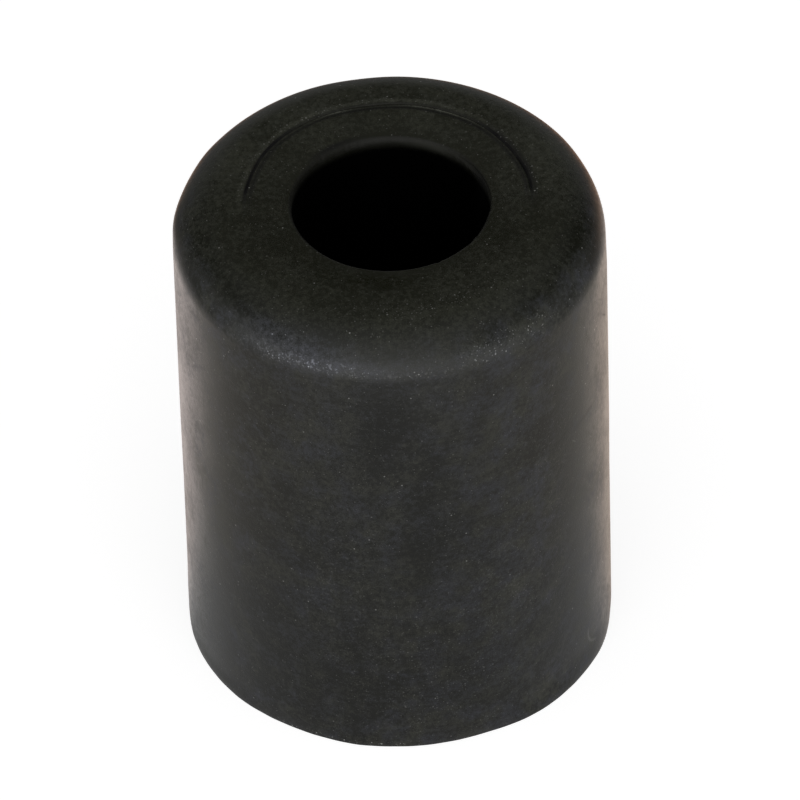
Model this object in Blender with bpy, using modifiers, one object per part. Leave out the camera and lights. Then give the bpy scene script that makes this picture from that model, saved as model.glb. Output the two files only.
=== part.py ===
"""Rubber cabinet foot: one moulded piece, round, with a deep recess for its screw.

It stands on its mounting face, with the floor end and the mouth of the recess facing up.
In use it hangs the other way up: the screw goes in through the recess, its head seats on the
web at the bottom of it, and its shank passes through the screw hole into the cabinet.
Sizes are in metres, and the origin is the centre of the mounting face.
"""

import math

import bpy

# Outside of the foot
FOOT_DIAMETER = 0.0350
FOOT_HEIGHT = 0.0445
CROWN_RADIUS = 0.0041
HEEL_RADIUS = 0.0002

# Screw recess, measured across its mouth, and the web that the screw clamps
BORE_DIAMETER = 0.0156
BORE_LIP_RADIUS = 0.0005
BORE_DRAFT_DEG = 0.5
WEB_THICKNESS = 0.0120
SEAT_CORNER_RADIUS = 0.0010
SCREW_HOLE_DIAMETER = 0.0065

# Sunken land between the recess and the band that meets the floor
LAND_WIDTH = 0.00325
LAND_DEPTH = 0.0003
FLOOR_BAND_LEAST = 0.0005

# Facets of the turned solid
TURN_STEPS = 96
CROWN_SEGMENTS = 14
LIP_SEGMENTS = 6
CORNER_SEGMENTS = 4
SMOOTH_UP_TO_DEG = 35.0
SAME_POINT = 0.000001

RUBBER_COLOUR = (0.012, 0.012, 0.011, 1.0)
RUBBER_ROUGHNESS = 0.6


def clear_scene():
    for item in list(bpy.data.objects):
        bpy.data.objects.remove(item, do_unlink=True)


def arc(centre_x, centre_z, radius, start_deg, end_deg, segments):
    """Points of a circular arc in the cross-section, with both of its ends."""
    points = []
    for index in range(segments + 1):
        angle = math.radians(start_deg + (end_deg - start_deg) * index / segments)
        x = centre_x + radius * math.cos(angle)
        z = centre_z + radius * math.sin(angle)
        points.append((x, z))
    return points


def bore_radius(z):
    """Radius of the drafted recess wall at a height; it narrows from the mouth downwards."""
    depth = FOOT_HEIGHT - LAND_DEPTH - z
    return BORE_DIAMETER / 2 - depth * math.tan(math.radians(BORE_DRAFT_DEG))


def foot_profile():
    """The cross-section as a closed loop: out over the floor end, down the side, in under the
    mounting face, up the screw hole, out over the seat and up the recess wall."""
    slant = math.cos(math.radians(BORE_DRAFT_DEG))
    outer_radius = FOOT_DIAMETER / 2
    hole_radius = SCREW_HOLE_DIAMETER / 2

    # The rounded lip of the recess blends its drafted wall into the sunken land.
    land_z = FOOT_HEIGHT - LAND_DEPTH
    lip_z = land_z - BORE_LIP_RADIUS
    lip_x = bore_radius(lip_z) + BORE_LIP_RADIUS / slant
    lip = arc(lip_x, lip_z, BORE_LIP_RADIUS, 180 - BORE_DRAFT_DEG, 90, LIP_SEGMENTS)

    # A quarter round as high as the land is deep leads up to the floor band.
    step_x = lip_x + LAND_WIDTH + LAND_DEPTH
    step = arc(step_x, land_z, LAND_DEPTH, 180, 90, CORNER_SEGMENTS)

    # The crown leaves at least a narrow flat band to stand on.
    crown_radius = min(CROWN_RADIUS, outer_radius - step_x - FLOOR_BAND_LEAST)
    crown = arc(
        outer_radius - crown_radius,
        FOOT_HEIGHT - crown_radius,
        crown_radius,
        90,
        0,
        CROWN_SEGMENTS,
    )
    heel = arc(outer_radius - HEEL_RADIUS, HEEL_RADIUS, HEEL_RADIUS, 0, -90, CORNER_SEGMENTS)
    hole = [(hole_radius, 0.0), (hole_radius, WEB_THICKNESS)]

    # An inside radius joins the seat to the recess wall.
    corner_z = WEB_THICKNESS + SEAT_CORNER_RADIUS
    corner_x = bore_radius(corner_z) - SEAT_CORNER_RADIUS / slant
    corner = arc(corner_x, corner_z, SEAT_CORNER_RADIUS, -90, -BORE_DRAFT_DEG, CORNER_SEGMENTS)
    return lip + step + crown + heel + hole + corner


def rubber_material():
    material = bpy.data.materials.new("black_rubber")
    material.use_nodes = True
    shader = material.node_tree.nodes["Principled BSDF"]
    shader.inputs["Base Color"].default_value = RUBBER_COLOUR
    shader.inputs["Roughness"].default_value = RUBBER_ROUGHNESS
    shader.inputs["Metallic"].default_value = 0.0
    material.diffuse_color = RUBBER_COLOUR
    return material


def turned_solid(name, profile, material, collection):
    """Turns a closed cross-section about the Z axis into one solid object."""
    outline = bpy.data.meshes.new(name + "_section")
    corners = [(x, 0.0, z) for x, z in profile]
    edges = [(index, (index + 1) % len(corners)) for index in range(len(corners))]
    outline.from_pydata(corners, edges, [])
    solid = bpy.data.objects.new(name, outline)
    collection.objects.link(solid)

    screw = solid.modifiers.new("turn", "SCREW")
    screw.axis = "Z"
    screw.angle = 2 * math.pi
    screw.steps = TURN_STEPS
    screw.render_steps = TURN_STEPS
    screw.use_merge_vertices = True
    screw.merge_threshold = SAME_POINT

    # The turned surface replaces the section, so that its edges can be shaded by their angle.
    bpy.context.view_layer.update()
    graph = bpy.context.evaluated_depsgraph_get()
    turned = bpy.data.meshes.new_from_object(solid.evaluated_get(graph))
    solid.modifiers.clear()
    solid.data = turned
    turned.name = name
    bpy.data.meshes.remove(outline)
    turned.shade_smooth()
    turned.set_sharp_from_angle(angle=math.radians(SMOOTH_UP_TO_DEG))
    turned.materials.append(material)
    return solid


def main():
    clear_scene()
    collection = bpy.data.collections.new("rubber_cabinet_foot")
    bpy.context.scene.collection.children.link(collection)
    turned_solid("rubber_foot", foot_profile(), rubber_material(), collection)


main()
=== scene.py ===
"""Rubber cabinet foot: its moulded skin, its rubber, the floor, the light and the camera.

Lengths are in metres. A turn round the foot is in degrees: 0 faces the camera, and it grows
towards the camera's right, so that 90 is the right side and 180 the far side.
"""
import math
import random

import bmesh
import bpy
from mathutils import Matrix, Vector


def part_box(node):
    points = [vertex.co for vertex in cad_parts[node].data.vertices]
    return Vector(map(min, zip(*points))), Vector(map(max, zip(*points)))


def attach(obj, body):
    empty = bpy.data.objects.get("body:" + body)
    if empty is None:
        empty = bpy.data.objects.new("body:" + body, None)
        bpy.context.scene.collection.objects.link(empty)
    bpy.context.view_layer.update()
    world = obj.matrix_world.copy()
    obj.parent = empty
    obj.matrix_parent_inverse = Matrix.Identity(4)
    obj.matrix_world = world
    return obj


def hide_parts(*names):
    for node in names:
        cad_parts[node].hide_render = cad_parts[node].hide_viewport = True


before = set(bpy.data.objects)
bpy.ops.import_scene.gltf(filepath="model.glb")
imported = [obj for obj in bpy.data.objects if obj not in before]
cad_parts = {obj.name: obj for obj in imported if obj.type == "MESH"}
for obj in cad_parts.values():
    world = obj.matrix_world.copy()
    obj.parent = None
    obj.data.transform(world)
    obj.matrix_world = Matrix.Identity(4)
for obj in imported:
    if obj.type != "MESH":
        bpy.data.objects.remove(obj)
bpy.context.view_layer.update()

MM = 0.001

# The foot's own size, from the frame
foot_low, foot_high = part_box("rubber_foot")

# The skin's radius is this much less than the solid's, and points closer than this are one.
HAIR = 0.0005 * MM
FOOT_RADIUS = (foot_high.x - foot_low.x) / 2 - HAIR
FOOT_HEIGHT = foot_high.z
TOP = FOOT_HEIGHT / MM

# The section: the solid's, with a sharper base edge and a deeper lip
CROWN_RADIUS = 4.1 * MM
CROWN_START = FOOT_RADIUS - CROWN_RADIUS
HEEL_RADIUS = 0.05 * MM
LAND_DEPTH = 0.3 * MM
RECESS_RADIUS = 7.80 * MM
LIP_WIDTH = 0.45 * MM
LIP_DEPTH = 0.95 * MM
DRAFT = math.tan(math.radians(0.5))
WEB_THICKNESS = 12.0 * MM
SEAT_CORNER = 1.0 * MM
SCREW_HOLE_RADIUS = 3.25 * MM
CREASE = 11.55 * MM

# The skin is cut more finely across the ring and near the base.
RING_INSIDE = 10.8 * MM
RING_OUTSIDE = 12.4 * MM
BASE_BAND = 2.8 * MM
ROUND_STEPS = 512
SHARP_ANGLE = math.radians(50)

# Nicks in the lip, with the least and most of their half width in degrees and depth in mm, and
# ripples of the base edge: how many go round, and their size in mm
NICK_COUNT = 26
NICK_WIDTHS = (1.0, 3.5)
NICK_DEPTHS = (0.01, 0.07)
RIPPLE_COUNTS = (3, 5, 8, 13, 21, 34, 55)
RIPPLE_SIZE = 0.03

# Where the base edge waves in and out: turn, width of the wave in degrees, and its size in mm
BASE_WAVES = ((-31, 14, -0.07), (-12, 9, 0.07), (25, 10, -0.06), (42, 9, 0.05), (58, 8, -0.04))

# Where the shoulder waves in and out: turn, width, height in mm, and size in mm
SHOULDER_WAVES = ((-172, 16, 43.4, -0.08), (-120, 9, 42.6, 0.05), (-94, 14, 42.0, 0.16))

# Length round the wall in one degree of turn, in mm
ONE_DEGREE = math.pi / 180 * FOOT_RADIUS / MM

# The recess lies a little off the foot's axis.
RECESS_SHIFT = Vector((0.13 * MM, 0.06 * MM, 0))


def fade(value, start, end):
    """0 before start, 1 after end, and a smooth rise between them."""
    part = min(1.0, max(0.0, (value - start) / (end - start)))
    return part * part * (3 - 2 * part)


def hump(value, middle, width):
    """A smooth hump of height 1 that is nearly gone at one width from its middle."""
    return math.exp(-3 * ((value - middle) / width) ** 2)


def round_from(turn, where):
    """How far round a turn is from another, from -180 to 180."""
    return (turn - where + 180) % 360 - 180


def between(turn, start, end, soft=8):
    """1 between two turns, which may pass the far side, with soft ends."""
    half = (end - start) / 2
    off = abs(round_from(turn, start + half))
    return fade(off, half + soft / 2, half - soft / 2)


# Moulded skin

def straight(points, end, steps):
    """Carries the section on in a straight line."""
    start = points[-1]
    for index in range(1, steps + 1):
        part = index / steps
        points.append((start[0] + (end[0] - start[0]) * part, start[1] + (end[1] - start[1]) * part))


def bend(points, middle, width, height, start_deg, end_deg, steps):
    """Carries the section on round a part of an ellipse."""
    for index in range(steps + 1):
        angle = math.radians(start_deg + (end_deg - start_deg) * index / steps)
        point = (middle[0] + width * math.cos(angle), middle[1] + height * math.sin(angle))
        if not points or math.dist(points[-1], point) > 2 * HAIR:
            points.append(point)


def foot_section():
    """The closed section: round the recess's lip, out over the floor end, down the side, in under
    the mounting face, up the screw hole, over the seat and up the recess wall."""
    land_z = FOOT_HEIGHT - LAND_DEPTH
    lip_middle = (RECESS_RADIUS + LIP_WIDTH, land_z - LIP_DEPTH)
    seat_r = RECESS_RADIUS - (land_z - WEB_THICKNESS) * DRAFT
    corner_middle = (seat_r - SEAT_CORNER, WEB_THICKNESS + SEAT_CORNER)
    crown_middle = (CROWN_START, FOOT_HEIGHT - CROWN_RADIUS)
    points = []
    bend(points, lip_middle, LIP_WIDTH, LIP_DEPTH, 180, 90, 20)
    straight(points, (RING_INSIDE, land_z), 14)
    straight(points, (RING_OUTSIDE, land_z), 46)
    straight(points, (CROWN_START, land_z), 5)
    points.pop()
    bend(points, crown_middle, CROWN_RADIUS, CROWN_RADIUS, 90, 0, 30)
    straight(points, (FOOT_RADIUS, BASE_BAND), 12)
    straight(points, (FOOT_RADIUS, HEEL_RADIUS), 10)
    bend(points, (FOOT_RADIUS - HEEL_RADIUS, HEEL_RADIUS), HEEL_RADIUS, HEEL_RADIUS, 0, -90, 3)
    straight(points, (SCREW_HOLE_RADIUS, 0.0), 5)
    straight(points, (SCREW_HOLE_RADIUS, WEB_THICKNESS), 2)
    straight(points, (seat_r - SEAT_CORNER, WEB_THICKNESS), 2)
    bend(points, corner_middle, SEAT_CORNER, SEAT_CORNER, -90, 0, 4)
    straight(points, (points[0][0], points[0][1] - 0.5 * MM), 6)
    return points


def ring_strength(turn):
    """How plainly the insert's ring shows: on the far half, and not on the near half."""
    return between(turn, 92, 262, 14)


def floor_end_height(radius, turn):
    """Height of the floor end at a place: a shallow dish, its rim with the ring, and a gently
    falling band."""
    r = radius / MM
    ring = ring_strength(turn)
    far = between(turn, 118, 248, 40)
    wander = 0.03 * math.sin(math.radians(turn * 5 + 40)) + 0.02 * math.sin(math.radians(turn * 11))
    rim = CREASE / MM + wander * ring
    depth = 0.34 * (max(0.0, rim - r) / 3.15) ** 1.3
    step = 0.11 * ring * fade(r, rim + 0.70, rim + 0.22)
    fall = 0.05 * fade(r, rim + 0.2, 14.5) * (1 - between(turn, 110, 250, 50))
    uneven = 0.75 + 0.25 * math.sin(math.radians(turn * 17)) * math.sin(math.radians(turn * 7 + 20))
    line = rim + 0.07 + 0.12 * far - 0.08 * between(turn, 80, 138, 10)
    crack = (0.26 - 0.18 * far) * ring * uneven * hump(r, line, 0.17 - 0.03 * far)
    hollow = 0.07 * between(turn, 105, 262, 20) * hump(r, rim - 0.22 + 0.14 * far, 0.30)
    threads = between(turn, 138, 174, 10) + 0.7 * between(turn, 194, 207, 8)
    thread = 0.04 * threads * uneven * hump(r, rim + 0.08, 0.11)
    return FOOT_HEIGHT - (depth + step + fall + crack + hollow - thread) * MM


def shape_floor_end(point, turn):
    """Gives the flat floor end its dish and ring, and carries both on into lip and crown."""
    radius = math.hypot(point.x, point.y)
    lip_end = RECESS_RADIUS + LIP_WIDTH
    land_z = FOOT_HEIGHT - LAND_DEPTH
    if radius > CROWN_START - 2 * HAIR:
        drop = floor_end_height(radius, turn) - FOOT_HEIGHT
        point.z += drop * fade(point.z, FOOT_HEIGHT - 3.5 * MM, FOOT_HEIGHT - 1.0 * MM)
    elif radius > lip_end - 2 * HAIR:
        point.z = floor_end_height(radius, turn)
    elif point.z > land_z - LIP_DEPTH:
        drop = floor_end_height(lip_end, turn) - land_z
        point.z += drop * fade(point.z, land_z - LIP_DEPTH, land_z)


def shape_lip(point, turn, nicks):
    """The lip reaches deeper on its far right and is sharper on both sides, has a thread beside
    a groove on its right, and small nicks all round."""
    radius = math.hypot(point.x, point.y)
    depth = (FOOT_HEIGHT - point.z) / MM
    if radius > RECESS_RADIUS + LIP_WIDTH + 0.3 * MM or depth > 4:
        return
    worn = 0.10 * hump(depth, 1.6, 1.4) * between(turn, 125, 175, 40)
    sharp = 0.20 * hump(depth, 1.4, 1.5) * (between(turn, -135, -72, 40) + between(turn, 72, 112, 40))
    sharp += 0.14 * hump(depth, 1.0, 0.7) * between(turn, 82, 116, 14)
    groove = 0.08 * hump(depth, 0.55, 0.24) * between(turn, 88, 132, 16)
    thread = -0.05 * hump(depth, 0.95, 0.4) * between(turn, 92, 128, 16)
    cut = sum(size * hump(round_from(turn, where), 0, wide) for where, wide, size in nicks)
    change = worn + sharp + groove + thread + cut * hump(depth, 0.5, 0.6)
    point.x += point.x / radius * change * MM
    point.y += point.y / radius * change * MM


def shape_base(point, turn, ripple):
    """The trimmed base edge: flash on the near right and a little on the left, ripples and waves."""
    height = point.z / MM
    radius = math.hypot(point.x, point.y)
    if point.z > BASE_BAND or radius < FOOT_RADIUS - 0.5 * MM:
        return
    flash = 0.22 * between(turn, 26, 76, 20) * fade(height, 2.6, 0.0)
    flash += 0.07 * between(turn, -80, -46, 14) * fade(height, 1.6, 0.0)
    ripples = [math.sin(math.radians(turn * count + start)) for count, start in ripple]
    uneven = RIPPLE_SIZE * (sum(ripples) / len(ripples) - 1)
    wave = sum(size * hump(turn, where, wide) for where, wide, size in BASE_WAVES)
    change = flash + uneven * fade(height, 0.5, 0.0) + wave * fade(height, 1.6, 0.0)
    point.x += point.x / radius * change * MM
    point.y += point.y / radius * change * MM


def shape_side(point, turn):
    """The side draws in a little above its base, low on its right and at its far right shoulder,
    and its shoulder waves."""
    radius = math.hypot(point.x, point.y)
    if radius < CROWN_START:
        return
    height = point.z / MM
    waist = 0.04 * fade(height, 2.8, 5) * fade(height, 22, 15)
    shoulder = 0.09 * between(turn, 84, 118, 16) * fade(height, 37, 42)
    low_right = 0.05 * between(turn, 79, 140, 10) * fade(height, 4.5, 2.5)
    change = -waist - shoulder - low_right
    for where, wide, level, size in SHOULDER_WAVES:
        wave = size * hump(round_from(turn, where), 0, wide) * hump(height, level, 1.6)
        change += wave * fade(height, 40.45, 41.4)
    point.x += point.x / radius * change * MM
    point.y += point.y / radius * change * MM


def shift_recess(point):
    """Moves the recess off the axis; its seat and screw hole stay."""
    radius = math.hypot(point.x, point.y)
    part = fade(radius, 11.0 * MM, 8.6 * MM) * fade(point.z, 20 * MM, 35 * MM)
    point += RECESS_SHIFT * part


def skin_mesh():
    """Turns the section, then gives each point its wear and its moulding marks."""
    chance = random.Random(7)
    nicks = []
    for _ in range(NICK_COUNT):
        where = chance.uniform(-180, 180)
        nicks.append((where, chance.uniform(*NICK_WIDTHS), chance.uniform(*NICK_DEPTHS)))
    ripple = [(count, chance.uniform(0, 360)) for count in RIPPLE_COUNTS]
    shape = bmesh.new()
    corners = [shape.verts.new((x, 0.0, z)) for x, z in foot_section()]
    edges = [shape.edges.new((corners[i - 1], corners[i])) for i in range(len(corners))]
    bmesh.ops.spin(
        shape, geom=corners + edges, cent=(0, 0, 0), axis=(0, 0, 1), angle=2 * math.pi,
        steps=ROUND_STEPS, use_merge=True, use_duplicate=False,
    )
    bmesh.ops.remove_doubles(shape, verts=shape.verts, dist=HAIR)
    bmesh.ops.recalc_face_normals(shape, faces=shape.faces)
    for vert in shape.verts:
        turn = math.degrees(math.atan2(vert.co.x, -vert.co.y))
        if vert.co.z > FOOT_HEIGHT - 5 * MM:
            shape_lip(vert.co, turn, nicks)
            shape_floor_end(vert.co, turn)
        shape_side(vert.co, turn)
        shape_base(vert.co, turn, ripple)
        shift_recess(vert.co)
    for face in shape.faces:
        face.smooth = True
    mesh = bpy.data.meshes.new("moulded_foot")
    shape.to_mesh(mesh)
    shape.free()
    mesh.set_sharp_from_angle(angle=SHARP_ANGLE)
    return mesh


def make_skin():
    skin = bpy.data.objects.new("moulded_foot", skin_mesh())
    bpy.context.scene.collection.objects.link(skin)
    skin.data.materials.append(black_rubber())
    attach(skin, "root")
    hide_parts("rubber_foot")


# Nodes

class Amount:
    """A number that changes over a surface; arithmetic on it adds Math nodes."""

    def __init__(self, finish, socket):
        self.finish = finish
        self.socket = socket

    def maths(self, operation, *values):
        return self.finish.add("ShaderNodeMath", {"operation": operation}, dict(enumerate(values))).out(0)

    def __add__(self, other):
        return self.maths("ADD", self, other)

    def __radd__(self, other):
        return self.maths("ADD", other, self)

    def __sub__(self, other):
        return self.maths("SUBTRACT", self, other)

    def __rsub__(self, other):
        return self.maths("SUBTRACT", other, self)

    def __mul__(self, other):
        return self.maths("MULTIPLY", self, other)

    def __rmul__(self, other):
        return self.maths("MULTIPLY", other, self)

    def __truediv__(self, other):
        return self.maths("DIVIDE", self, other)

    def most(self, other):
        return self.maths("MAXIMUM", self, other)

    def size(self):
        return self.maths("ABSOLUTE", self)

    def sine(self):
        return self.maths("SINE", self)


class Added:
    """A node that has been added."""

    def __init__(self, finish, node):
        self.finish = finish
        self.node = node

    def out(self, name):
        """An output, by its place or, among those in use, by its name."""
        if isinstance(name, int):
            return Amount(self.finish, self.node.outputs[name])
        return Amount(self.finish, next(s for s in self.node.outputs if s.name == name and s.enabled))


class Finish:
    """The nodes of one material or of the room's light."""

    def __init__(self, owner):
        owner.use_nodes = True
        self.tree = owner.node_tree
        self.tree.nodes.clear()

    def add(self, kind, settings=None, sockets=None):
        """Adds a node, makes its settings, then sets or links its sockets."""
        node = self.tree.nodes.new(kind)
        for name, value in (settings or {}).items():
            setattr(node, name, value)
        for name, value in (sockets or {}).items():
            if isinstance(name, int):
                socket = node.inputs[name]
            else:
                socket = next(s for s in node.inputs if s.name == name and s.enabled)
            if isinstance(value, Amount):
                self.tree.links.new(value.socket, socket)
            else:
                socket.default_value = value
        return Added(self, node)

    def ease(self, value, start, end):
        """0 before start, 1 after end, and a smooth rise between them."""
        settings = {"interpolation_type": "SMOOTHSTEP"}
        limits = {"From Min": start, "From Max": end, "To Min": 0.0, "To Max": 1.0}
        if start > end:
            limits = {"From Min": end, "From Max": start, "To Min": 1.0, "To Max": 0.0}
        return self.add("ShaderNodeMapRange", settings, {"Value": value, **limits}).out("Result")

    def near(self, value, middle, reach):
        """1 at a value, and 0 at a reach from it."""
        return self.ease((value - middle).size(), reach, 0.0)

    def cloud(self, place, scale, detail=2.0, roughness=0.5):
        """Noise about 0, of a grain of 1 / scale."""
        sockets = {"Vector": place, "Scale": scale, "Detail": detail, "Roughness": roughness}
        return self.add("ShaderNodeTexNoise", None, sockets).out(0) - 0.5

    def specks(self, place, scale, reach, share):
        """Round specks: one in a cell of 1 / scale, of a reach in cells, in a share of the cells."""
        cell = self.add("ShaderNodeTexVoronoi", None, {"Vector": place, "Scale": scale})
        chance = self.add("ShaderNodeSeparateColor", None, {"Color": cell.out("Color")}).out(0)
        dot = self.ease(cell.out("Distance"), reach, reach * 0.5)
        return dot * self.ease(chance, share, share * 0.8)

    def scatter(self, place, rows):
        """The specks of a table, each size as bright as it says; the brightest shows."""
        sizes = [self.specks(place, *row[:3]) * row[3] for row in rows]
        brightest = sizes[0]
        for other in sizes[1:]:
            brightest = brightest.most(other)
        return brightest

    def distance(self, x, y):
        squared = x * x + y * y
        return squared.maths("SQRT", squared)

    def brighten(self, colour, amount):
        """A colour times an amount."""
        sockets = {0: colour, "Scale": amount}
        return self.add("ShaderNodeVectorMath", {"operation": "SCALE"}, sockets).out(0)

    def mix(self, factor, first, second):
        """A colour between two others."""
        sockets = {"Factor": factor, "A": first, "B": second}
        return self.add("ShaderNodeMix", {"data_type": "RGBA"}, sockets).out("Result")


# Rubber

# Colours of the wall, the crown, the flat floor end and the lip, a painted highlight on the lip's far
# part, painted shade inside the recess and by the mouth, and the ring's painted shade
WALL_RUBBER = (0.0036, 0.0037, 0.0020, 1)
CROWN_RUBBER = (0.0045, 0.0051, 0.0016, 1)
END_RUBBER = (0.0048, 0.0054, 0.0, 1)
LIP_RUBBER = (0.0036, 0.0036, 0.0014, 1)
LIP_HIGHLIGHT = (0.13, 0.133, 0.115, 1)
RECESS_SHADE = (0.0004, 0.0004, 0.0004, 1)
RING_SHADE = (0.0006, 0.0006, 0.0006, 1)

# Dust, scuffs that also stand in for part of the crown edge's highlight, and specks
OLIVE_DUST = (0.119, 0.120, 0.096, 1)
BLUE_DUST = (0.109, 0.114, 0.140, 1)
END_DUST = (0.112, 0.117, 0.086, 1)
SCUFF_AND_HIGHLIGHT = (0.15, 0.155, 0.185, 1)
SPECK = (0.5, 0.5, 0.48, 1)
SCUFFED_SPECK = (0.5, 0.52, 0.6, 1)

# Noises: patches in a metre, finer layers, and for the drift of the dust how rough they are
GRAIN = (9000.0, 1.0)
MOTTLE = (2600.0, 2.0)
BLOTCH = (700.0, 2.0)
CLOUDY = (190.0, 3.0)
CLUMPS = (1700.0, 2.0)
FLECKS = (3600.0, 1.0)
DRIFT = (420.0, 5.0, 0.6)

# Specks: cells in a metre, reach in cells, share of the cells, and brightness
SPARSE_SPECKS = (
    (3000.0, 0.14, 0.60, 0.10), (2200.0, 0.12, 0.60, 0.20), (1600.0, 0.11, 0.50, 0.13),
    (800.0, 0.07, 0.55, 0.35),
)
CROWDED_SPECKS = ((4200.0, 0.26, 0.75, 0.35), (2600.0, 0.22, 0.50, 0.60))

# Patches: turn and height of the middle, in degrees and mm, reach round and up, and amount
LINED = ((54, 2.4, 30, 2.6, 1.0), (28, 24.5, 16, 5, 0.4), (-20, 40.5, 40, 1.6, 0.4))
DUSTY = (
    (28, 20, 14, 40, 0.06), (-27, 36, 10, 12, 0.05), (30, 12, 22, 14, 0.03), (-20, 20, 12, 14, 0.02),
    (8, 0.2, 46, 1.6, 0.07), (6, 0.3, 40, 0.7, 0.06), (30, 1.8, 24, 1.8, 0.05),
    (-56, 1.5, 14, 3, -0.05), (-10, 8, 20, 8, -0.03),
)
CLUMPED = ((-20, 41.6, 27, 0.65, 0.22), (-58, 41.2, 14, 0.6, 0.12))
# The scuffed lower edge of the crown: wear that also stands in for part of its highlight
SCUFFED_AND_LIT = ((-30, 42.2, 28, 2.0, 1.0), (-8, 41.7, 22, 1.0, 0.5), (26, 42.0, 20, 1.2, 0.4))
CROWDED = (
    (-20, 41.5, 33, 0.75, 0.8), (-28, 42.4, 24, 1.4, 0.15), (0, 41.25, 66, 0.55, 0.6),
    (34, 42.0, 21, 1.3, 1.1), (8, 8, 42, 14, 0.25), (42, 21, 26, 24, 0.14), (-15, 0.3, 34, 0.5, 1.8),
)
FLECKED = (
    (-25, 41.65, 22, 0.95, 0.27), (6, 41.2, 30, 0.4, 0.1), (26, 17, 20, 12, 0.045),
    (-16, 18, 20, 16, 0.045),
)

# Straight marks: turn and height of the middle, slant in degrees, half length, half width, amount
PALE_STROKES = (
    (64, 9.8, -60, 0.4, 0.13, 1.0), (64.6, 24.8, -50, 0.5, 0.12, 1.0),
    (55.5, 26.6, -50, 0.6, 0.10, 1.0), (-79, 13.9, -40, 0.8, 0.16, 1.0),
)
DARK_STROKES = (
    (78, 34.6, -42, 1.3, 0.14, 1.0), (73.5, 37.5, -42, 1.4, 0.15, 0.5), (63, 28, 2, 3.2, 0.4, 0.4),
)


class Spot:
    """A point of the foot: where it is, in mm and degrees, what it is part of, and its noises. Its
    mouth is how far it is from the middle of the recess. Its turn is counted from the side that
    faces the camera, and its back from the far side."""

    def __init__(self, paint):
        self.paint = paint
        self.place = paint.add("ShaderNodeTexCoord").out("Object")
        split = paint.add("ShaderNodeSeparateXYZ", None, {"Vector": self.place})
        x = split.out("X")
        y = split.out("Y")
        self.height = split.out("Z") / MM
        self.radius = paint.distance(x, y) / MM
        self.mouth = paint.distance(x - RECESS_SHIFT.x, y - RECESS_SHIFT.y) / MM
        self.turn = x.maths("ARCTAN2", x, 0 - y) * (180 / math.pi)
        self.back = x.maths("ARCTAN2", x, y) * (180 / math.pi)
        self.along = self.turn * ONE_DEGREE

        self.grain = paint.cloud(self.place, *GRAIN)
        self.mottle = paint.cloud(self.place, *MOTTLE)
        self.blotch = paint.cloud(self.place, *BLOTCH)
        self.cloudy = paint.cloud(self.place, *CLOUDY)

        self.wall = paint.ease(self.radius, 16.3, 17.3)
        self.floor_end = paint.ease(self.height, TOP - 4.2, TOP - 2.0)
        self.flat_end = paint.ease(self.height, TOP - 1.2, TOP - 0.6)
        self.far_half = paint.ease(self.back.size(), 100, 60)
        self.to_side = self.wall * paint.ease(self.turn.size(), 25, 55)
        self.sides = self.to_side * (1 - paint.ease(self.turn.size(), 62, 78) * 0.5)
        self.smooth = self.patch(-4, 36, 17, 9).most(self.patch(8, 28, 9, 12) * 0.6)
        self.clean_land = self.end_patch(9.6, -5, 1.9, 90)
        self.dark_marks = self.wall * self.strokes(DARK_STROKES)

    def patch(self, turn_at, height_at, turn_reach, height_reach):
        across = self.paint.near(self.turn, turn_at, turn_reach)
        return across * self.paint.near(self.height, height_at, height_reach)

    def patches(self, rows):
        """The patches of a table, each times its amount, added up."""
        amounts = [self.patch(*row[:4]) * row[4] for row in rows]
        return sum(amounts[1:], amounts[0])

    def end_patch(self, radius_at, turn_at, radius_reach, turn_reach):
        """A patch of the floor end."""
        across = self.paint.near(self.radius, radius_at, radius_reach)
        return across * self.paint.near(self.turn, turn_at, turn_reach) * self.floor_end

    def strokes(self, rows):
        """The straight marks of a table, added up."""
        marks = []
        for turn_at, height_at, slant, length, width, amount in rows:
            sideways = (self.turn - turn_at) * ONE_DEGREE
            up = self.height - height_at
            lean = math.radians(slant)
            on_it = sideways * math.cos(lean) + up * math.sin(lean)
            off_it = up * math.cos(lean) - sideways * math.sin(lean)
            marks.append(self.paint.near(on_it, 0, length) * self.paint.near(off_it, 0, width) * amount)
        return sum(marks[1:], marks[0])

    def curl(self, turn_at, height_at, reach):
        """A pale curl on the wall: the lower left part of a ring."""
        sideways = (self.turn - turn_at) * ONE_DEGREE
        up = self.height - height_at
        out = self.paint.distance(sideways, up)
        lower_left = self.paint.ease(sideways, 0.0, -0.7) * self.paint.ease(up, 0.8, 0.1)
        return self.paint.near(out, reach, 0.22) * lower_left

    def streaks(self, sideways, up, detail):
        """Noise that is drawn out along one way over the wall."""
        level = self.paint.add("ShaderNodeCombineXYZ", None, {"X": sideways, "Y": up}).out(0)
        return self.paint.cloud(level, 1.0, detail)


def wall_dust(spot):
    """Dust on the wall: its mould lines, its slanting wipe marks on the right, and its patches."""
    paint = spot.paint
    mould_lines = spot.streaks(spot.along * 0.05, spot.height * 3.0, 3.0)
    fine_lines = spot.streaks(spot.along * 0.04, spot.height * 6.5, 2.0)
    downhill = spot.along * 0.8 + spot.height * 0.6
    uphill = spot.height * 0.8 - spot.along * 0.6
    wipes = spot.streaks(downhill * 0.12, uphill * 0.9, 3.0)
    right_wall = paint.near(spot.turn, 48, 38) * paint.ease(spot.height, 42, 32)
    clumps = paint.ease(paint.cloud(spot.place, *CLUMPS), 0.04, 0.2)
    dust = spot.wall * (0.02 + mould_lines * 0.14) + right_wall * wipes * 0.4
    dust = dust + fine_lines * spot.patches(LINED) * 0.5 + spot.patches(DUSTY)
    dust = dust + clumps * spot.patches(CLUMPED)
    return dust - spot.dark_marks * 0.12 - spot.smooth * 0.08


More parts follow.
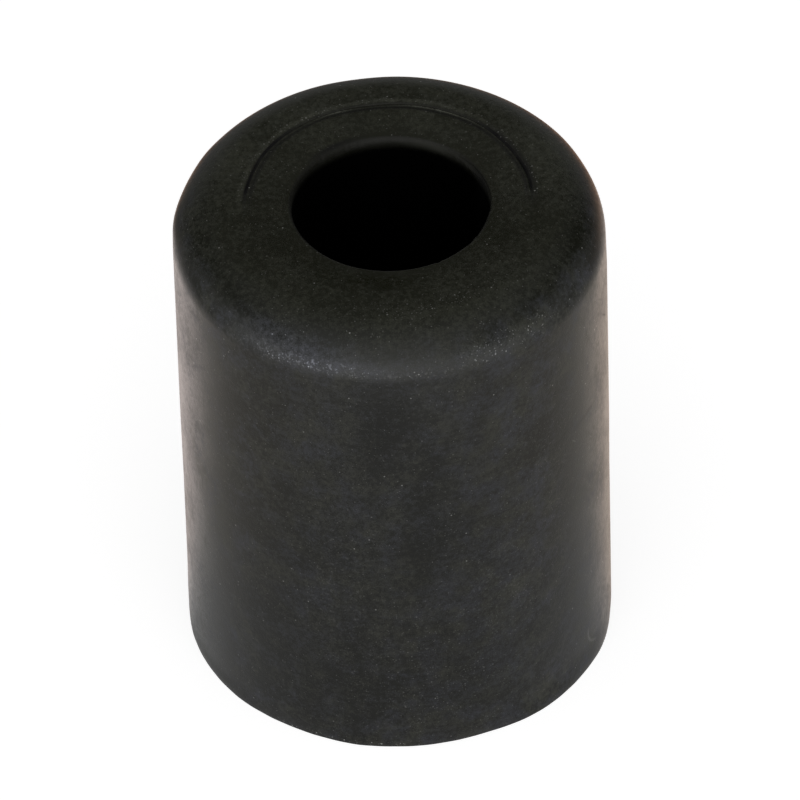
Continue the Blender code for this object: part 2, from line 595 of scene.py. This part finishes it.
def end_dust_and_shade(spot):
    """The land is cleaner near the camera, and painted shade darkens it by the mouth and more at the
    mouth's far edge; the band round it is dusty.
    """
    paint = spot.paint
    crown_side = paint.near(spot.radius, 16.3, 1.3) * paint.near(spot.back.size(), 82, 28)
    # Painted shade round the mouth: less pale dust, so darker, by the mouth and at its far edge.
    shaded_by_mouth = paint.ease(spot.mouth, 9.3, 8.4) * spot.flat_end
    shaded_far_mouth = paint.near(spot.mouth, 8.3, 0.4) * paint.near(spot.back, -20, 64)
    far_band = paint.near(spot.radius, 13.4, 1.9) * 0.05 + paint.near(spot.radius, 14.8, 1.7) * 0.055
    dust = spot.floor_end * crown_side * 0.06 + far_band * spot.far_half
    dust = dust + spot.end_patch(13.9, 10, 2.0, 48) * 0.06
    return dust - spot.clean_land * 0.045 - shaded_by_mouth * 0.045 - shaded_far_mouth * 0.08


class Ring:
    """The insert's ring round the land: painted shade as a dark line on each side and a dim hollow inside
    it, and a pale edge and thread on its far part, dust with a painted highlight where they catch light."""

    def __init__(self, spot):
        paint = spot.paint
        slow_wave = (spot.turn * 5 + 40) * (math.pi / 180)
        quick_wave = spot.turn * 11 * (math.pi / 180)
        sway = slow_wave.sine() * 0.03 + quick_wave.sine() * 0.02
        across = spot.radius - sway - paint.ease(spot.back.size(), 75, 30) * 0.16
        far_part = paint.near(spot.back, 0, 100)
        on_ring = spot.flat_end * far_part.maths("MINIMUM", 1.0, far_part * 12)
        self.outer_edge = paint.near(across, 12.05, 0.35) * on_ring

        furthest = paint.ease(spot.back.size(), 52, 30)
        line = paint.ease((across - 11.61).size(), 0.22, 0.08) * (0.97 - furthest * 0.6)
        line = line.most(paint.near(across, 11.82, 0.4) * paint.ease(spot.back, 34, 55) * 0.65)
        hollow = paint.near(across, 11.2, 0.36) * 0.6
        self.shade = (line.most(hollow) * on_ring * (1 + spot.blotch * 0.8)).most(0.0)

        # Painted highlight: the far ring's rounded outer edge and raised thread are made paler, as dust,
        # where they catch the light.
        edge = paint.ease(spot.back, 60, 25) * 0.10 + paint.near(spot.back, 14, 14) * 0.06
        threads = paint.near(spot.back, 22, 20) + paint.near(spot.back, -20, 10) * 0.7
        frayed = 0.5 + spot.mottle * 1.6 + spot.grain * 0.8
        thread = paint.near(across, 11.45, 0.11) * threads * frayed
        self.dust = (edge * paint.near(across, 12.02, 0.32) + thread) * on_ring


def dust_and_painted_light(spot, ring):
    """A thin film with its own texture, and what lies on the wall, the floor end and the ring, with
    painted shade by the mouth and a painted highlight on the ring.
    """
    rougher = 1 + spot.sides * 1.1 + spot.wall * spot.paint.ease(spot.height, 9, 3) * 0.3
    coarse = spot.mottle * (0.36 + spot.flat_end * 0.04) + spot.blotch * (0.24 - spot.flat_end * 0.12)
    film = 0.055 - spot.flat_end * 0.009 + spot.grain * 0.34 + (coarse + spot.cloudy * 0.28) * rougher
    return (film + wall_dust(spot) + end_dust_and_shade(spot) + ring.dust).most(0.0)


def worn_and_lit_edge(spot):
    """How far the lower edge of the crown is scuffed, a paler wear that also stands in for part of its
    highlight.
    """
    uneven = 1 + spot.blotch * 1.3 + spot.mottle * 1.5 + spot.grain * 1.5
    return (spot.patches(SCUFFED_AND_LIT) * uneven).most(0.0)


def pale_specks(spot, ring):
    """Sparse specks all over, crowded specks and ragged flecks in places, and a few thin marks."""
    paint = spot.paint
    crowd = spot.patches(CROWDED) + spot.end_patch(13.3, 12, 1.7, 55) * 0.5 + ring.outer_edge * 0.45
    flecks = paint.ease(paint.cloud(spot.place, *FLECKS), 0.05, 0.2) * spot.patches(FLECKED)
    crowded = paint.scatter(spot.place, CROWDED_SPECKS) * crowd
    crowded = crowded.most(flecks) * (1 + spot.blotch * 3)
    marks = spot.wall * (spot.strokes(PALE_STROKES) + spot.curl(66.6, 3.5, 1.65)) * 0.11
    return paint.scatter(spot.place, SPARSE_SPECKS).most(crowded).most(marks)


def open_rubber(spot, ring, dust):
    """Olive on the floor end and black on the wall, under dust that drifts from olive to blue and carries
    some painted shade and highlight, with scuffs that also paint part of the crown edge's highlight.
    """
    paint = spot.paint
    tint = paint.ease(paint.cloud(spot.place, *DRIFT), -0.12, 0.12)
    drift = paint.mix(tint, OLIVE_DUST, BLUE_DUST)
    drift = paint.mix(spot.flat_end * 0.85, drift, END_DUST)
    olive = spot.flat_end * paint.ease(spot.radius, 15.6, 13.6)
    # Scuffs on the crown's lower edge, partly a painted highlight
    scuff_and_highlight = worn_and_lit_edge(spot)
    colour = paint.mix(spot.floor_end, WALL_RUBBER, CROWN_RUBBER)
    colour = paint.mix(olive, colour, END_RUBBER)
    colour = paint.mix(dust, colour, drift)
    colour = paint.mix(scuff_and_highlight * 0.2, colour, SCUFF_AND_HIGHLIGHT)
    colour = paint.mix(ring.shade, colour, RING_SHADE)
    pale = paint.mix(scuff_and_highlight, SPECK, SCUFFED_SPECK)
    return paint.mix(pale_specks(spot, ring), colour, pale)


def black_rubber():
    """Moulded black rubber: rougher at the lip, with a painted highlight on the lip's far part, painted
    shade on the lip's right and by the far left of the mouth, and painted shade that blackens the
    smoother inside of the recess.
    """
    material = bpy.data.materials.new("black_rubber")
    paint = Finish(material)
    spot = Spot(paint)
    ring = Ring(spot)
    # Dust, with painted shade by the mouth and a painted highlight on the ring.
    dust = dust_and_painted_light(spot, ring)

    lip = paint.ease(spot.mouth, 8.3, 8.1)
    # Painted highlight: the far part of the lip is made paler where its rounded edge catches the light.
    lip_highlight = lip * paint.near(spot.back, 28, 28) * paint.near(spot.height, TOP - 0.95, 0.7)
    # Painted shade that makes the inside of the recess black; it is smoother there too.
    recess = lip * paint.ease(spot.height, TOP - 0.95, TOP - 1.8)
    # Painted shade on the lip's right part and on the land by the far left of the mouth; both are rougher
    # too.
    dull_shaded_right = lip * paint.near(spot.back, 70, 17) * paint.near(spot.mouth, 7.9, 0.4)
    dull_shaded_left = paint.near(spot.mouth, 8.35, 0.4) * paint.near(spot.back, -32, 26) * spot.flat_end
    dull_and_shaded = dull_shaded_right.most(dull_shaded_left)
    colour = paint.mix(lip * 0.85, open_rubber(spot, ring, dust), LIP_RUBBER)
    colour = paint.mix(lip_highlight * 0.15, colour, LIP_HIGHLIGHT)
    colour = paint.mix(recess.most(dull_and_shaded * 0.8), colour, RECESS_SHADE)

    rough = 0.37 + (spot.mottle + spot.cloudy) * 0.14 * (1 - spot.to_side * 0.5) + dust * 0.4
    rough = rough + lip * (0.2 + paint.near(spot.back, -95, 60) * 0.2)
    rough = rough - spot.smooth * 0.13 - spot.clean_land * 0.08
    rough = rough + ring.shade * 0.5 + dull_and_shaded * 0.3 + spot.dark_marks * 0.15
    rough = rough * (1 - recess * 0.6)

    swell = spot.grain * 0.012 + spot.mottle * (1 - spot.to_side * 0.8) * 0.020
    swell = (swell + spot.cloudy * (1 - spot.to_side * 0.5) * 0.06) * MM
    bump = paint.add("ShaderNodeBump", None, {"Strength": 1.0, "Distance": 1.0, "Height": swell})
    rubber = {
        "Base Color": colour, "Roughness": rough, "Specular IOR Level": 0.3, "Normal": bump.out(0),
    }
    shader = paint.add("ShaderNodeBsdfPrincipled", None, rubber)
    paint.add("ShaderNodeOutputMaterial", None, {"Surface": shader.out(0)})
    return material


# Floor

FLOOR_HALF_SIDE = 6.0
FLOOR_GREY = (0.45, 0.45, 0.45, 1)
CAMERA_GLOW = 0.80
WHITE = (1, 1, 1, 1)

# How brightly the rubber sees the floor glow: in front of the foot, close to it, behind it, beside
# it and more so on its left, and far behind it and more so on the right
FRONT_GLOW = 1.7
NEAR_GLOW = 0.33
BEHIND_GLOW = 0.45
BESIDE_GLOW = 0.72
LEFT_GLOW = 0.12
FAR_GLOW = 0.08
FAR_RIGHT_GLOW = 0.38

# The warm light that the rubber mirrors from the floor: on each side, ahead of both and far behind
LEFT_WARMTH = (1.0, 0.86, 0.81, 1)
RIGHT_WARMTH = (1.0, 0.80, 0.66, 1)
AHEAD_WARMTH = (1.0, 0.92, 0.80, 1)
FAR_WARMTH = (1.0, 0.42, 0.14, 1)


def pale_floor():
    """A pale floor that shows white and keeps the foot's soft shadow; the foot mirrors its glow."""
    material = bpy.data.materials.new("pale_floor")
    paint = Finish(material)
    rays = paint.add("ShaderNodeLightPath")
    place = paint.add("ShaderNodeTexCoord").out("Object")
    split = paint.add("ShaderNodeSeparateXYZ", None, {"Vector": place})
    x = split.out("X")
    y = split.out("Y")

    # Where on the floor, in metres
    away = paint.distance(x, y)
    near = paint.ease(away, 0.11, 0.05)
    front = paint.ease(y, 0.0, -0.10) * (1 - near)
    behind = paint.ease(y, -0.03, 0.03)
    out = x.size() - FOOT_RADIUS
    on_left = near * paint.ease(y - out * 0.45, -0.005, 0.006) * paint.ease(x, 0, -0.01)
    on_right = near * paint.ease(y - out * 0.9, -0.009, 0.002) * paint.ease(x, 0, 0.01)
    beside = on_left + on_right
    far_back = paint.ease(y, 0.05, 0.08) * paint.ease(away, 0.20, 0.12)
    ahead = near * paint.ease(x.size(), 0.02, 0.04) * (1 - beside)

    glow = front * FRONT_GLOW + near * (NEAR_GLOW + behind * BEHIND_GLOW)
    glow = glow + beside * BESIDE_GLOW + on_left * LEFT_GLOW
    glow = glow + far_back * (FAR_GLOW + paint.ease(x, 0.0, 0.05) * FAR_RIGHT_GLOW)
    mirrored = rays.out("Is Glossy Ray").most(rays.out("Is Transmission Ray"))
    strength = rays.out("Is Camera Ray") * CAMERA_GLOW + mirrored * glow
    warmth = paint.mix(paint.ease(x, -0.01, 0.01), LEFT_WARMTH, RIGHT_WARMTH)
    warmth = paint.mix(mirrored * beside, WHITE, warmth)
    warmth = paint.mix(mirrored * ahead, warmth, AHEAD_WARMTH)
    warmth = paint.mix(mirrored * far_back, warmth, FAR_WARMTH)
    matt = {
        "Base Color": FLOOR_GREY, "Roughness": 1.0, "Specular IOR Level": 0.0,
        "Emission Color": paint.brighten(warmth, strength), "Emission Strength": 1.0,
    }
    shader = paint.add("ShaderNodeBsdfPrincipled", None, matt)
    paint.add("ShaderNodeOutputMaterial", None, {"Surface": shader.out(0)})
    return material


def make_floor():
    shape = bmesh.new()
    bmesh.ops.create_grid(shape, x_segments=1, y_segments=1, size=FLOOR_HALF_SIDE)
    mesh = bpy.data.meshes.new("floor")
    shape.to_mesh(mesh)
    shape.free()
    mesh.materials.append(pale_floor())
    floor = bpy.data.objects.new("floor", mesh)
    bpy.context.scene.collection.objects.link(floor)


# Light

# Lamps: name, climb and turn in degrees, width and height, and brightness. The climb goes from the
# floor in front up over the top to the floor behind, and brightness 1 is that of white paper.
LAMPS = (
    ("over_front", 75, 0, 3.0, 1.05, 0.75),
    ("over_back", 105, 0, 3.0, 1.05, 0.41),
    ("back_high", 130, 0, 3.0, 0.8, 0.25),
    ("back_low", 171, 0, 3.0, 0.6, 0.42),
    ("front_high", 45, 0, 3.0, 1.05, 1.16),
    ("front_mid", 22, 0, 2.6, 0.55, 1.60),
    ("front_low", 7, 0, 2.6, 0.5, 1.90),
    ("left_high", 40, -90, 2.0, 1.4, 0.18),
    ("left_low", 10, -90, 2.0, 0.7, 0.86),
    ("right_high", 40, 90, 2.0, 1.4, 0.12),
    ("right_low", 10, 90, 2.0, 0.7, 0.74),
)
LAMP_DISTANCE = 2.0
ROOM_GREY = (0.025, 0.025, 0.024, 1)


def softbox(name, climb, turn, width, height, brightness):
    """A soft flat lamp aimed at the foot."""
    lamp = bpy.data.lights.new(name, "AREA")
    lamp.shape = "RECTANGLE"
    lamp.size = width
    lamp.size_y = height
    lamp.energy = brightness * math.pi * width * height
    angle = math.radians(climb)
    swing = Matrix.Rotation(math.radians(turn), 4, "Z")
    where = swing @ Vector((0, -math.cos(angle), math.sin(angle)))
    up = swing @ Vector((0, math.sin(angle), math.cos(angle)))
    axes = Matrix((up.cross(where), up, where)).transposed().to_4x4()
    box = bpy.data.objects.new(name, lamp)
    box.matrix_world = Matrix.Translation(where * LAMP_DISTANCE) @ axes
    bpy.context.scene.collection.objects.link(box)


def make_light():
    for row in LAMPS:
        softbox(*row)

    world = bpy.data.worlds.new("room")
    bpy.context.scene.world = world
    room = Finish(world)
    seen = room.add("ShaderNodeLightPath").out("Is Camera Ray")
    dim = room.add("ShaderNodeBackground", None, {"Color": ROOM_GREY})
    white = room.add("ShaderNodeBackground", None, {"Color": WHITE})
    either = room.add("ShaderNodeMixShader", None, {0: seen, 1: dim.out(0), 2: white.out(0)})
    room.add("ShaderNodeOutputWorld", None, {"Surface": either.out(0)})


# Camera

CAMERA_CLIMB = math.radians(42.99)
CAMERA_ROLL = math.radians(1.70)
CAMERA_DISTANCE = 1050 * MM
CAMERA_LENS = 579.1
SENSOR_WIDTH = 36.0
AIM_RIGHT = 0.444 * MM
AIM_UP = 0.169 * MM


def make_camera():
    camera = bpy.data.objects.new("camera", bpy.data.cameras.new("camera"))
    camera.data.sensor_width = SENSOR_WIDTH
    camera.data.lens = CAMERA_LENS
    camera.data.clip_start = 0.05
    camera.data.clip_end = 20.0
    back = Vector((0, -math.cos(CAMERA_CLIMB), math.sin(CAMERA_CLIMB)))
    level = Vector((1, 0, 0))
    rise = back.cross(level)
    right = level * math.cos(CAMERA_ROLL) - rise * math.sin(CAMERA_ROLL)
    up = level * math.sin(CAMERA_ROLL) + rise * math.cos(CAMERA_ROLL)
    aim = Vector((0, 0, FOOT_HEIGHT / 2)) + right * AIM_RIGHT + up * AIM_UP
    axes = Matrix((right, up, back)).transposed().to_4x4()
    camera.matrix_world = Matrix.Translation(aim + back * CAMERA_DISTANCE) @ axes
    bpy.context.scene.collection.objects.link(camera)
    bpy.context.scene.camera = camera
    bpy.context.scene.view_settings.view_transform = "Standard"


make_skin()
make_floor()
make_light()
make_camera()
